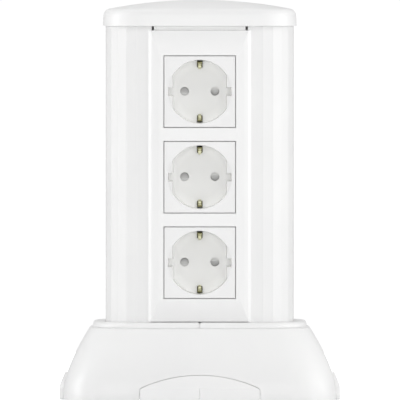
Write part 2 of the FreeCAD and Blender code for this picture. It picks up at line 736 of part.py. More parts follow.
def make_pot(name, height):
    """The ring round the recess, with the two crescent ledges that stand in the cover's opening."""
    body = new_body(name)
    drum = sketch_on(body, "XZ_Plane", at(POT_FLOOR))
    circle(drum, "0", "0", POT_RADIUS)
    pad(body, drum, "%s - %s" % (POT_FLOOR, COVER_BACK))
    ledges = sketch_on(body, "XZ_Plane", at(COVER_BACK))
    circle(ledges, "0", "0", "recess_diameter / 2 - slide_gap / 4")
    pad(body, ledges, "cover_thickness - ledge_depth")
    mouth = sketch_on(body, "XZ_Plane", at(COVER_BACK))
    recess_outline(mouth)
    pocket(body, mouth, "cover_thickness", reverse=True)
    recess = sketch_on(body, "XZ_Plane", at(COVER_BACK))
    recess_outline(recess)
    pocket(body, recess, "recess_depth - cover_thickness", draft="-recess_draft")
    place(body, z=height)


def make_floor(name, height):
    """The floor of the recess with the pin holes."""
    body = new_body(name)
    disc = sketch_on(body, "XZ_Plane", at(POT_BACK))
    circle(disc, "0", "0", POT_RADIUS)
    pad(body, disc, "pot_floor")
    holes = sketch_on(body, "XZ_Plane", at(POT_BACK))
    earth_slots(holes)
    for side in SIDES:
        circle(holes, "%d * pin_pitch / 2" % side, "0", "pin_hole / 2")
    pocket(body, holes, "pot_floor + cut_past", reverse=True)
    place(body, z=height)


def make_shutter(name, height):
    body = new_body(name)
    back = "(%s - shutter_float)" % SPACE_BACK
    hub = sketch_on(body, "XZ_Plane", at(back))
    circle(hub, "0", "0", "shutter_hub")
    pad(body, hub, "shutter_thickness")
    arms = sketch_on(body, "XZ_Plane", at(back))
    box_outline(arms, "(pin_pitch / 2)", "(shutter_arm / 2)")
    pad(body, arms, "shutter_thickness")
    for side in SIDES:
        lobe = sketch_on(body, "XZ_Plane", at(back))
        circle(lobe, "%d * pin_pitch / 2" % side, "0", "shutter_lobe")
        pad(body, lobe, "shutter_thickness")
    front = "(%s - shutter_thickness)" % back
    inner, outer = "(shutter_hub + slide_gap)", "(pin_pitch / 2 + shutter_lobe + cut_past)"
    for side in SIDES:
        ramp = sketch_on(body, "YZ_Plane", "%d * (%s + %s) / 2" % (side, outer, inner))
        high, low = "%d * shutter_ramp_start" % side, "%d * shutter_lobe" % -side
        ahead = front + " - cut_past / 2"
        contour(ramp, [(ahead, high), (front, high), (front + " + shutter_ramp", low), (ahead, low)])
        pocket(body, ramp, "%s - %s" % (outer, inner), middle=True)
    bore = sketch_on(body, "XZ_Plane", at(front))
    circle(bore, "0", "0", "pivot_radius + pivot_fit")
    pocket(body, bore, "shutter_thickness")
    place(body, z=height)


def corner_squares(sketch, near, far):
    """Four squares between two distances from the centre."""
    for side_x, side_y in QUARTERS:
        lines = []
        for side in (side_x, side_y):
            ends = ["%d * (%s)" % (side, near), "%d * (%s)" % (side, far)]
            lines.extend(ends if side > 0 else reversed(ends))
        rectangle(sketch, *lines)


def make_housing(name, height):
    """A block behind the pot with four posts that stand round it up to the cover."""
    body = new_body(name)
    half = "(module_size / 2 - housing_gap)"
    block = sketch_on(body, "XZ_Plane", at(HOUSING_BACK))
    box_outline(block, half, half)
    pad(body, block, "%s - %s" % (HOUSING_BACK, POT_BACK))
    posts = sketch_on(body, "XZ_Plane", at(POT_BACK))
    corner_squares(posts, half + " - post_size", half)
    pad(body, posts, "%s - %s" % (POT_BACK, COVER_BACK))
    sockets = sketch_on(body, "XZ_Plane", at(COVER_BACK))
    grow = "(cover_leg / 2 + slide_gap / 2)"
    corner_squares(sockets, "cover_leg_place - %s" % grow, "cover_leg_place + %s" % grow)
    pocket(body, sockets, "cover_leg_length + slide_gap")
    space = sketch_on(body, "XZ_Plane", at(POT_BACK))
    circle(space, "0", "0", "shutter_space_radius")
    pocket(body, space, "shutter_space")
    pivot = sketch_on(body, "XZ_Plane", at(SPACE_BACK))
    circle(pivot, "0", "0", "pivot_radius")
    pad(body, pivot, "shutter_space - shutter_float / 2")
    bores = sketch_on(body, "XZ_Plane", at(SPACE_BACK))
    wells = sketch_on(body, "XZ_Plane", at(HOUSING_BACK))
    for side in SIDES:
        centre = "%d * pin_pitch / 2" % side
        circle(bores, centre, "0", "sleeve_outer + contact_gap")
        reach = "(clamp_size / 2 + contact_gap)"
        rectangle(wells, "%s - %s" % (centre, reach), "%s + %s" % (centre, reach), "-" + reach, reach)
    slots = sketch_on(body, "XZ_Plane", at(POT_BACK))
    earth_slots(slots)
    pocket(body, bores, "%s - %s" % (HOUSING_BACK, SPACE_BACK))
    pocket(body, slots, "%s - %s" % (HOUSING_BACK, POT_BACK))
    pocket(body, wells, "clamp_depth + clamp_setback", reverse=True)
    earth = sketch_on(body, "XZ_Plane", at(HOUSING_BACK))
    circle(earth, "0", "0", "screw_shank + peg_fit")
    pocket(body, earth, "clamp_depth", reverse=True)
    place(body, z=height)


def make_contact(name, height, side):
    body = new_body(name)
    centre = "%d * pin_pitch / 2" % side
    sleeve = sketch_on(body, "XZ_Plane", at(CLAMP_FRONT))
    circle(sleeve, centre, "0", "sleeve_outer")
    circle(sleeve, centre, "0", "sleeve_inner")
    pad(body, sleeve, "%s - %s - contact_gap" % (CLAMP_FRONT, SPACE_BACK))
    slit = sketch_on(body, "XZ_Plane", at(SPACE_BACK))
    half = "sleeve_slit / 2"
    rectangle(slit, "%s - %s" % (centre, half), "%s + %s" % (centre, half), "-sleeve_outer", "sleeve_outer")
    pocket(body, slit, "%s - %s - slit_end" % (CLAMP_FRONT, SPACE_BACK))
    clamp = sketch_on(body, "XZ_Plane", at(CLAMP_BACK))
    reach = "(clamp_size / 2)"
    rectangle(clamp, "%s - %s" % (centre, reach), "%s + %s" % (centre, reach), "-" + reach, reach)
    pad(body, clamp, "clamp_depth")
    thread = sketch_on(body, "XZ_Plane", at(CLAMP_BACK))
    circle(thread, centre, "0", "screw_shank + peg_fit")
    pocket(body, thread, "clamp_depth", reverse=True)
    wire = sketch_on(body, "YZ_Plane", centre)
    circle(wire, "(%s + %s) / 2" % (CLAMP_FRONT, CLAMP_BACK), "wire_height", "wire_hole")
    pocket(body, wire, "clamp_size + 2 * cut_past", middle=True)
    place(body, z=height)


def make_earth_clip(name, height):
    """A bridge behind the housing whose two arms come forward and bow into the recess."""
    body = new_body(name)
    strip = "earth_strip"
    back = HOUSING_BACK
    arm = "earth_arm"
    nose = "earth_nose"
    bend = "(%s + earth_bend_setback)" % FACE
    belly = "(%s + earth_nose_setback)" % FACE
    tip = "(%s + earth_tip_setback)" % FACE
    for side in SIDES:
        profile = sketch_on(body, "YZ_Plane")
        points = [
            (back + " + " + strip, "0"),
            (back + " + " + strip, arm),
            (bend, arm),
            (belly, "%s + %s" % (nose, strip)),
            (tip, arm),
            (tip, "%s - %s" % (arm, strip)),
            (belly, nose),
            (bend + " + earth_strip / 2", "%s - %s" % (arm, strip)),
            (back, "%s - %s" % (arm, strip)),
            (back, "0"),
        ]
        if side < 0:
            points = [(y, "-(%s)" % z) for y, z in reversed(points)]
        contour(profile, points)
        pad(body, profile, "earth_strip_width", middle=True)
    for side in SIDES:
        bead = sketch_on(body, "YZ_Plane")
        circle(bead, belly, "%d * (earth_touch + earth_bead_radius)" % side, "earth_bead_radius")
        pad(body, bead, "earth_bead_width", middle=True)
    bridge = sketch_on(body, "XZ_Plane", at("%s + %s" % (back, strip)))
    box_outline(bridge, "(earth_bridge_width / 2)", "(earth_bridge_width / 2)")
    pad(body, bridge, strip)
    screw = sketch_on(body, "XZ_Plane", at("%s + %s" % (back, strip)))
    circle(screw, "0", "0", "screw_shank + peg_fit")
    pocket(body, screw, strip, reverse=True)
    place(body, z=height)


def turned_screw(head_radius, head_height, shank, length):
    """A slotted screw along +Y with the underside of its head at the origin."""
    head = Part.makeCylinder(head_radius, head_height, vector(0, 0, 0), vector(0, 1, 0))
    stem = Part.makeCylinder(shank, length, vector(0, -length, 0), vector(0, 1, 0))
    width, depth = value("drive_slot"), value("drive_depth")
    corner = vector(-head_radius, head_height - depth, -width / 2)
    slot = Part.makeBox(2 * head_radius, depth, width, corner)
    return head.fuse(stem).cut(slot).removeSplitter()


def make_terminal_screws(name, height):
    """The slotted screws of the two clamps and of the earth clip, one group."""
    feature = document.addObject("Part::Feature", name)
    feature.Label = name
    pieces.append(feature)
    length = value("clamp_depth") - value("screw_tip_gap")
    screw = turned_screw(value("screw_head"), value("screw_head_height"), value("screw_shank"), length)
    spots = [(side * value("pin_pitch") / 2, value(CLAMP_BACK)) for side in SIDES]
    spots.append((0, value(HOUSING_BACK) + value("earth_strip")))
    feature.Shape = Part.makeCompound([screw.translated(vector(x, y, 0)) for x, y in spots])
    feature.Placement = FreeCAD.Placement(vector(0, 0, value(height)), FreeCAD.Rotation())


def make_socket(number, step):
    height = module_height(step)
    make_cover("socket_cover_%d" % number, height)
    make_pot("socket_pot_%d" % number, height)
    make_floor("recess_floor_%d" % number, height)
    make_shutter("shutter_%d" % number, height)
    make_housing("socket_housing_%d" % number, height)
    make_contact("live_contact_%d" % number, height, -1)
    make_contact("neutral_contact_%d" % number, height, 1)
    make_earth_clip("earth_clip_%d" % number, height)
    make_terminal_screws("terminal_screws_%d" % number, height)


# The base shell: an upright skirt under a convex slope, hollow, with four cable windows

def slope_inset(level):
    """How far the outside of the base lies inside its skirt at a height above the blend."""
    bigger = "(slope_radius - skirt_blend)"
    rise = "((%s) - skirt_top + %s * sin(slope_start))" % (level, bigger)
    return "(skirt_blend + %s * cos(slope_start) - sqrt(slope_radius ^ 2 - %s ^ 2))" % (bigger, rise)


def blend_inset(level):
    return "(skirt_blend - sqrt(skirt_blend ^ 2 - ((%s) - skirt_top) ^ 2))" % level


def base_outline(sketch, inset, wall):
    """An outline of the base: rounded outside, with flats for its corners inside."""
    sizes = ["(%s / 2 - %s - %s)" % (size, inset, wall) for size in ("base_width", "base_depth")]
    sizes.append("(base_corner - %s)" % wall)
    if wall == "0":
        rounded(sketch, *sizes)
    else:
        faceted(sketch, *sizes, INNER_FLATS)


def base_sections(body, top, wall, count):
    """Outlines up the blend and the slope, inside the outer face by a wall."""
    blend_top = "(skirt_top + skirt_blend * sin(slope_start))"
    blend_middle = "((skirt_top + %s) / 2)" % blend_top
    levels = [("skirt_top", "0")]
    levels += [(level, blend_inset(level)) for level in (blend_middle, blend_top)]
    for step in range(1, count + 1):
        share = step / count
        level = "(%s * %g + %s * %g)" % (blend_top, 1 - share, top, share)
        levels.append((level, slope_inset(level)))
    sections = []
    for level, inset in levels:
        section = sketch_on(body, "XY_Plane", level)
        base_outline(section, inset, wall)
        sections.append(section)
    return sections


HATCH_DEPTH = "(hatch_proud + hatch_inside)"


def hatch_outline(sketch, grow, foot):
    """Upright sides under a shallow arch."""
    half = "(hatch_width / 2 + %s)" % grow
    side = "(hatch_side + %s)" % grow
    rise = "(hatch_top - hatch_side)"
    radius = "((%s ^ 2 + %s ^ 2) / (2 * %s))" % (half, rise, rise)
    corner = "(hatch_corner + (%s))" % grow
    centre = "(%s + %s - %s)" % (side, rise, radius)
    corner_x = "(%s - %s)" % (half, corner)
    corner_rise = "sqrt((%s - %s) ^ 2 - %s ^ 2)" % (radius, corner, corner_x)
    reach = "(%s / (%s - %s))" % (radius, radius, corner)
    arch_x, arch_z = "(%s * %s)" % (corner_x, reach), "(%s + %s * %s)" % (centre, corner_rise, reach)
    side_top = "(%s + %s)" % (centre, corner_rise)
    right = [(half, foot), (half, side_top), (arch_x, arch_z)]
    left = [("-" + x, z) for x, z in reversed(right)]
    contour(sketch, right + left, {1: (corner, 1), 2: (radius, 1), 3: (corner, 1)})


def make_base_shell():
    body = new_body("base_shell")
    skirt = sketch_on(body, "XY_Plane", "base_foot")
    base_outline(skirt, "0", "0")
    pad(body, skirt, "skirt_top - base_foot")
    loft(body, base_sections(body, BASE_TOP, "0", OUTER_LEVELS))
    fillet(body, level_edge(value(BASE_TOP)), "base_shoulder")
    hollow = sketch_on(body, "XY_Plane", "base_foot")
    base_outline(hollow, "0", "base_wall")
    pocket(body, hollow, "skirt_top - base_foot", reverse=True)
    inner_top = "(%s - base_wall)" % BASE_TOP
    loft(body, base_sections(body, inner_top, "base_wall", INNER_LEVELS), cut=True)
    throat = sketch_on(body, "XY_Plane", BASE_TOP)
    column_outline(throat, "collar_gap")
    pocket(body, throat, "base_wall + cut_past")
    for plane, reach in (("XZ_Plane", "base_depth / 2"), ("YZ_Plane", "base_width / 2")):
        for side in SIDES:
            window = sketch_on(body, plane, "%d * (%s + cut_past)" % (side, reach))
            hatch_outline(window, "hatch_gap", "base_foot - cut_past")
            pocket(body, window, "%s + 2 * cut_past" % HATCH_DEPTH, reverse=side < 0)
    bosses = sketch_on(body, "XY_Plane", PLATE_TOP)
    bores = sketch_on(body, "XY_Plane", PLATE_TOP)
    for side_x, side_y in QUARTERS:
        spot = ("%d * %s" % (side_x, BOSS_X), "%d * %s" % (side_y, BOSS_Y))
        circle(bosses, spot[0], spot[1], "boss_radius")
        circle(bores, spot[0], spot[1], "thread_radius + peg_fit")
    pad(body, bosses, "boss_height")
    pocket(body, bores, "thread_length + cut_past", reverse=True)


# The collar: two halves that close round the column, with a groove along the seam

def make_collar(name, side):
    body = new_body(name)
    half_x = "(collar_width / 2)"
    margin = "((collar_width - column_width) / 2)"
    half_y = "(column_depth / 2 + %s)" % margin
    ring = sketch_on(body, "XY_Plane", BASE_TOP)
    rounded(ring, half_x, half_y, "(column_corner + %s / 2)" % margin)
    pad(body, ring, "collar_height")
    fillet(body, level_edge(value(COLLAR_TOP)), "collar_rounding")
    chamfer(body, level_edge(value(BASE_TOP)), "collar_foot")
    hole = sketch_on(body, "XY_Plane", BASE_TOP)
    column_outline(hole, "collar_gap")
    pocket(body, hole, "collar_height", reverse=True)
    other = sketch_on(body, "XY_Plane", BASE_TOP)
    near, far = "%d * collar_seam / 2" % side, "%d * (collar_width / 2 + cut_past)" % -side
    left, right = (far, near) if side > 0 else (near, far)
    rectangle(other, left, right, "-(%s + cut_past)" % half_y, half_y + " + cut_past")
    pocket(body, other, "collar_height", reverse=True)
    vee = sketch_on(body, "XZ_Plane")
    edge = "%d * collar_vee / 2" % side
    above = COLLAR_TOP + " + cut_past"
    sharp = COLLAR_TOP + " - collar_vee_depth"
    contour(vee, [("0", sharp), ("0", above), (edge, above), (edge, COLLAR_TOP)])
    pocket(body, vee, "2 * (%s + cut_past)" % half_y, middle=True)


# The cable hatches: arched covers that plug the windows of the skirt and clip over the base plate

def make_hatch(name, plane, side):
    body = new_body(name)
    reach = "(base_depth / 2)" if plane == "XZ_Plane" else "(base_width / 2)"
    outward = side if plane == "YZ_Plane" else -side
    outer = "(%s + hatch_proud)" % reach
    shell = sketch_on(body, plane, "%d * (%s - hatch_inside)" % (side, reach))
    hatch_outline(shell, "0", "base_foot")
    pad(body, shell, HATCH_DEPTH, reverse=side < 0)
    lean = sketch_on(body, "YZ_Plane" if plane == "XZ_Plane" else "XZ_Plane")
    above = "(hatch_top + cut_past)"
    ahead = "%d * (%s + cut_past)" % (outward, outer)
    leant = "hatch_lean * (%s - hatch_upright) / (hatch_top - hatch_upright)" % above
    points = [
        ("%d * %s" % (outward, outer), "hatch_upright"),
        (ahead, "hatch_upright"),
        (ahead, above),
        ("%d * (%s - %s)" % (outward, outer, leant), above),
    ]
    contour(lean, points)
    pocket(body, lean, "hatch_width + 2 * cut_past", middle=True)
    hollow = sketch_on(body, plane, "%d * (%s - hatch_inside)" % (side, reach))
    hatch_outline(hollow, "-hatch_wall", "base_foot - cut_past")
    pocket(body, hollow, "hatch_hollow", reverse=side > 0)
    score = sketch_on(body, "XY_Plane", "base_foot")
    sharp = "%d * (%s - hatch_score_depth)" % (outward, outer)
    wide = "%d * (%s + slide_gap / 2)" % (outward, outer)
    if plane == "XZ_Plane":
        contour(score, [("-hatch_score / 2", wide), ("hatch_score / 2", wide), ("0", sharp)])
    else:
        contour(score, [(wide, "-hatch_score / 2"), (wide, "hatch_score / 2"), (sharp, "0")])
    pocket(body, score, "hatch_upright - base_foot", reverse=True)
    tongues = sketch_on(body, "XY_Plane", PLATE_TOP + " + slide_gap")
    for way in SIDES:
        low = "%d * tongue_place - tongue_width / 2" % way
        high = "%d * tongue_place + tongue_width / 2" % way
        near = "%d * (%s + hatch_proud / 2)" % (outward, reach)
        far = "%d * (%s - hatch_inside - tongue_reach)" % (outward, reach)
        first, last = (far, near) if outward > 0 else (near, far)
        if plane == "XZ_Plane":
            rectangle(tongues, low, high, first, last)
        else:
            rectangle(tongues, first, last, low, high)
    pad(body, tongues, "hatch_wall")


# The base plate, its feet and screws

def make_base_plate():
    body = new_body("base_plate")
    plate = sketch_on(body, "XY_Plane", "foot_height")
    inset = "(hatch_inside + hatch_gap)"
    sizes = ["(%s - %s)" % (size, inset) for size in ("base_width / 2", "base_depth / 2", "base_corner")]
    rounded(plate, *sizes)
    pad(body, plate, "base_plate")
    holes = sketch_on(body, "XY_Plane", "foot_height")
    sinks = sketch_on(body, "XY_Plane", "foot_height")
    for side_x, side_y in QUARTERS:
        spot = ("%d * (base_width / 2 - floor_inset)" % side_x, "%d * floor_pitch_y / 2" % side_y)
        circle(holes, spot[0], spot[1], "floor_hole / 2")
        for x, y in ((PORT_X, PORT_Y), (BOSS_X, BOSS_Y)):
            circle(holes, "%d * %s" % (side_x, x), "%d * %s" % (side_y, y), "thread_radius + slide_gap")
            circle(sinks, "%d * %s" % (side_x, x), "%d * %s" % (side_y, y), "sink_radius + slide_gap")
    pocket(body, holes, "base_plate", reverse=True)
    pocket(body, sinks, "sink_height / 2", reverse=True)


def group(label, shapes):
    feature = document.addObject("Part::Feature", label)
    feature.Label = label
    feature.Shape = Part.makeCompound(shapes)
    feature.Placement = FreeCAD.Placement()
    pieces.append(feature)


def make_feet():
    """Four round rubber pads under the base plate."""
    shapes = []
    radius, height = value("foot_radius"), value("foot_height")
    for side_x, side_y in QUARTERS:
        spot = vector(side_x * value(FOOT_X), side_y * value(FOOT_Y), 0)
        disc = Part.makeCylinder(radius, height, spot)
        rim = [edge for edge in disc.Edges if abs(edge.BoundBox.ZMax) < 0.01]
        shapes.append(disc.makeChamfer(height / 4, rim))
    group("rubber_feet", shapes)


def make_plate_screws(label, place_x, place_y):
    """Countersunk screws from below the base plate."""
    low = value("foot_height")
    head_radius, head_height = value("sink_radius"), value("sink_height") / 2
    shank, length = value("thread_radius"), value("thread_length")
    shapes = []
    for side_x, side_y in QUARTERS:
        spot = vector(side_x * value(place_x), side_y * value(place_y), low)
        head = Part.makeCylinder(head_radius, head_height, spot)
        stem = Part.makeCylinder(shank, length, spot)
        shapes.append(head.fuse(stem).removeSplitter())
    group(label, shapes)


def make_terminal_block():
    """The supply terminals on the base plate inside the rear chamber of the column."""
    body = new_body("terminal_block")
    block = sketch_on(body, "XY_Plane", PLATE_TOP)
    centre = "(column_depth / 2 - column_wall - block_depth / 2 - block_setback)"
    near, far = centre + " - block_depth / 2", centre + " + block_depth / 2"
    rectangle(block, "-block_width / 2", "block_width / 2", near, far)
    pad(body, block, "block_height")
    wires = sketch_on(body, "XZ_Plane", at("%s - block_depth / 2" % centre))
    heads = sketch_on(body, "XY_Plane", PLATE_TOP + " + block_height")
    for step in MODULES:
        circle(wires, "%d * block_step" % step, PLATE_TOP + " + block_wire_height", "block_wire")
        circle(heads, "%d * block_step" % step, centre, "screw_head")
    pocket(body, wires, "block_depth + cut_past")
    pocket(body, heads, "block_screw_depth")


make_column()
make_cap()
make_plate()
make_carrier()
for number, step in enumerate(MODULES, start=1):
    make_socket(number, step)
make_base_shell()
make_collar("collar_left", -1)
make_collar("collar_right", 1)
make_hatch("front_hatch", "XZ_Plane", 1)
make_hatch("rear_hatch", "XZ_Plane", -1)
make_hatch("left_hatch", "YZ_Plane", -1)
make_hatch("right_hatch", "YZ_Plane", 1)
make_base_plate()
make_feet()
make_plate_screws("column_screws", PORT_X, PORT_Y)
make_plate_screws("shell_screws", BOSS_X, BOSS_Y)
make_terminal_block()
document.recompute()

# Check and write

for item in document.Objects:
    if "Invalid" in item.State or "Error" in item.State:
        raise ValueError("%s failed: %s" % (item.Name, item.State))
for piece in pieces:
    shape = piece.Shape
    if shape.isNull() or not shape.isValid():
        raise ValueError("%s has no valid shape" % piece.Label)
os.makedirs("parts", exist_ok=True)
for piece in pieces:
    piece.Shape.exportStep("parts/%s.step" % piece.Label)
    box = piece.Shape.BoundBox
    print("%-20s solids %d  volume %9.0f  z %6.1f to %6.1f" % (
        piece.Label, len(piece.Shape.Solids), piece.Shape.Volume, box.ZMin, box.ZMax))
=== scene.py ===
"""Looks, light and camera for the mini power column. The script adds no shape to the part."""
import json
import math

import bpy
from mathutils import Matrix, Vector

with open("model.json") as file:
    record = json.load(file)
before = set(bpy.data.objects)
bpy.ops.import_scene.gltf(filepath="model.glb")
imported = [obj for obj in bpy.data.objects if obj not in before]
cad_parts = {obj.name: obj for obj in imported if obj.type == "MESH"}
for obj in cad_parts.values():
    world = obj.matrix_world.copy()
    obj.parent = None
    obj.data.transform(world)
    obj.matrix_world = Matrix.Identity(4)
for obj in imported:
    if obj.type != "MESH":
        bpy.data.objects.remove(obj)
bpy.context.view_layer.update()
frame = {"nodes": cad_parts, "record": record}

# Lengths are in metres and angles in degrees, apart from the lens and sensor, in millimetres.

# Camera
LENS = 1200
SENSOR = 36
CLIP_NEAR = 0.1
CLIP_FAR = 100
PICTURE_WIDTH = 0.2515
ELEVATION = 1.2
AIM = Vector((0.00015, 0.0, 0.1246))

# Sockets: the height of the middle one and the step from one to the next
SOCKET_HEIGHT = 0.1398
PITCH = 0.0535

# Where a finish has a further tone. These tones mark painted light, and on the earth bead also
# wear.
# Earth contact, whose bead is rubbed metal with a painted highlight: half the bead's width, and
# the bead's outer end from the socket's middle
BEAD_HALF = 0.00095
BEAD_OUTER = 0.0176
# Recess ring: the back of the front ledges. Behind them the ring's walls are painted lighter, to
# lift their shade
LEDGE_BACK = -0.0440
# Recess floor, with a lighter tone painted in to lift the shade near its walls: how far out it
# keeps its own tone, the radius of the rim and the share of the lighter tone there, and how far
# out at the sides that tone is full
RIM_LIGHT_START = 0.0135
RECESS_RADIUS = 0.0195
RIM_SHARE = 0.63
SIDES = 0.0170
# Half the width of a soft edge between two tones
MASK_BLUR = 0.00012

# Noise in the finishes: detail, the roughness of each field, how much of the fine grain goes into
# tone and into gloss, and the spans of noise that take them from end to end
NOISE_DETAIL = 3.0
CLOUD_ROUGHNESS = 0.5
GRAIN_ROUGHNESS = 0.6
CLOUD_SCALE = 18.0
TONE_GRAIN = 0.12
GLOSS_GRAIN = 0.5
TONE_SPAN = (0.35, 0.8)
GLOSS_SPAN = (0.45, 1.0)
IOR = 1.46

# Floor
FLOOR_RADIUS = 0.9
FLOOR_CORNERS = 96
FLOOR_DROP = 0.0001
FLOOR_TONES = ((0.79, 0.79, 0.79), (0.81, 0.81, 0.81))
FLOOR_CLOUD_SCALE = 9
FLOOR_ROUGHNESS = 0.7
FLOOR_GLOW = 0.75

# Light: the even light of the surroundings and their brightness in the picture
WHITE = (1, 1, 1, 1)
WORLD_LIGHT = 0.42
BACKDROP = 1.02
# Panels: azimuth and elevation from the front, distance, width and height, level, and whether
# surfaces mirror the panel. A level of 1 gives a surface that faces the panel as much light as
# surroundings of strength 1 do.
PANELS = {
    "front_panel": (0, 4, 2.6, (1.6, 0.9), 0.245, True),
    "left_side": (-62, 8, 2.0, (0.6, 1.6), 0.01, True),
    "right_side": (62, 8, 2.0, (0.6, 1.6), 0.15, True),
    "left_edge": (-88, 8, 1.8, (0.6, 1.8), 0.50, True),
    "right_edge": (88, 8, 1.8, (0.6, 1.8), 0.37, True),
    "rear_panel": (180, 62, 2.4, (1.2, 1.0), 0.30, False),
    "upper_front": (0, 55, 2.4, (1.6, 1.0), 0.22, False),
    "rear_face": (180, 9, 2.6, (1.6, 1.6), 0.20, False),
}


def link(tree, source, target):
    """A link from an output socket to an input socket."""
    tree.links.new(source, target)


def new_node(tree, kind, **inputs):
    """A node with some of its input sockets set by name."""
    node = tree.nodes.new(kind)
    for name, value in inputs.items():
        node.inputs[name.replace("_", " ")].default_value = value
    return node


def noise(tree, scale, roughness=CLOUD_ROUGHNESS, stretch=None):
    """Noise over the object's own coordinates."""
    place = tree.nodes.new("ShaderNodeTexCoord")
    field = new_node(tree, "ShaderNodeTexNoise", Scale=scale, Detail=NOISE_DETAIL,
                     Roughness=roughness)
    source = place.outputs["Object"]
    if stretch:
        mapping = new_node(tree, "ShaderNodeMapping", Scale=stretch)
        link(tree, source, mapping.inputs["Vector"])
        source = mapping.outputs["Vector"]
    link(tree, source, field.inputs["Vector"])
    return field.outputs["Fac"]


def ranged(tree, value, wanted, given=(0, 1)):
    """A value moved from a given range to the wanted one."""
    node = new_node(tree, "ShaderNodeMapRange", From_Min=given[0], From_Max=given[1],
                    To_Min=wanted[0], To_Max=wanted[1])
    link(tree, value, node.inputs["Value"])
    return node.outputs["Result"]


def mixed(tree, value, first, second):
    """A colour between two, by a value. Each of the two is three numbers or a socket."""
    node = tree.nodes.new("ShaderNodeMix")
    node.data_type = "RGBA"
    for name, color in (("A", first), ("B", second)):
        if isinstance(color, tuple):
            node.inputs[name].default_value = (*color, 1)
        else:
            link(tree, color, node.inputs[name])
    link(tree, value, node.inputs["Factor"])
    return node.outputs["Result"]


def computed(tree, operation, *values):
    """A math node over sockets and numbers."""
    node = tree.nodes.new("ShaderNodeMath")
    node.operation = operation
    for socket, value in zip(node.inputs, values):
        if isinstance(value, (int, float)):
            socket.default_value = value
        else:
            link(tree, value, socket)
    return node.outputs["Value"]


def own_place(tree):
    """X, Y and Z in the object's own coordinates."""
    place = tree.nodes.new("ShaderNodeTexCoord")
    split = tree.nodes.new("ShaderNodeSeparateXYZ")
    link(tree, place.outputs["Object"], split.inputs["Vector"])
    return split.outputs


def above_socket(tree, place):
    """The height above the middle of the nearest socket."""
    near_socket = computed(tree, "WRAP", place["Z"], SOCKET_HEIGHT + PITCH / 2,
                           SOCKET_HEIGHT - PITCH / 2)
    return computed(tree, "SUBTRACT", near_socket, SOCKET_HEIGHT)


def below(tree, value, limit):
    """1 where a value is below a limit and 0 above it, with a soft edge."""
    return ranged(tree, value, (1, 0), (limit - MASK_BLUR, limit + MASK_BLUR))


def bead_wear_and_highlight_mask(tree, place):
    """1 on the touching bead of an earth contact, where plugs rub it bright and a highlight is
    painted.
    """
    across = computed(tree, "ABSOLUTE", place["X"])
    along = computed(tree, "ABSOLUTE", above_socket(tree, place))
    return computed(tree, "MULTIPLY", below(tree, across, BEAD_HALF),
                    below(tree, along, BEAD_OUTER))


def ledge_mask(tree, place):
    """1 on the front ledges of a recess, grained like the cover round them; behind them the walls
    get a painted lighter tone.
    """
    return below(tree, place["Y"], LEDGE_BACK)


def rim_light_mask(tree, place):
    """Painted light lifting a recess floor's shade: 0 in its middle, more at its rim, 1 at its
    sides and notches.
    """
    height = above_socket(tree, place)
    squares = computed(tree, "ADD", computed(tree, "MULTIPLY", place["X"], place["X"]),
                       computed(tree, "MULTIPLY", height, height))
    radius = computed(tree, "SQRT", squares)
    rim = ranged(tree, radius, (0, RIM_SHARE), (RIM_LIGHT_START, RECESS_RADIUS))
    sides = ranged(tree, computed(tree, "ABSOLUTE", place["X"]), (0, 1), (RIM_LIGHT_START, SIDES))
    return computed(tree, "MAXIMUM", rim, sides)


def finish(name, tones, rough, grain, relief, cloud=CLOUD_SCALE, metallic=0.0, stretch=None,
           further=None):
    """A surface with cloudy tone, uneven gloss and a fine grain.

    tones are its two colours, rough the ends of its roughness, grain the scale of the fine noise,
    relief the strength and depth of its bump, and further a mask and the colour where it is 1.
    """
    material = bpy.data.materials.new(name)
    material.use_nodes = True
    tree = material.node_tree
    shader = tree.nodes["Principled BSDF"]
    clouds = noise(tree, cloud)
    fine = noise(tree, grain, GRAIN_ROUGHNESS, stretch)
    tone = computed(tree, "MULTIPLY_ADD", fine, TONE_GRAIN, clouds)
    color = mixed(tree, ranged(tree, tone, (0, 1), TONE_SPAN), *tones)
    if further:
        mask, further_color = further
        color = mixed(tree, mask(tree, own_place(tree)), color, further_color)
    link(tree, color, shader.inputs["Base Color"])
    gloss = computed(tree, "MULTIPLY_ADD", fine, GLOSS_GRAIN, clouds)
    link(tree, ranged(tree, gloss, rough, GLOSS_SPAN), shader.inputs["Roughness"])
    strength, depth = relief
    bump = new_node(tree, "ShaderNodeBump", Strength=strength, Distance=depth)
    link(tree, fine, bump.inputs["Height"])
    link(tree, bump.outputs["Normal"], shader.inputs["Normal"])
    shader.inputs["Metallic"].default_value = metallic
    shader.inputs["IOR"].default_value = IOR
    return material


# What several finishes share
SATIN = {"rough": (0.30, 0.40), "grain": 3200, "relief": (0.2, 0.00003)}
SMOOTH = {"grain": 2400, "relief": (0.12, 0.00002)}
MATT = {"rough": (0.40, 0.50), "grain": 2400, "relief": (0.15, 0.00003)}
BRASS = {"grain": 900, "relief": (0.15, 0.00002), "cloud": 120.0, "metallic": 1.0}

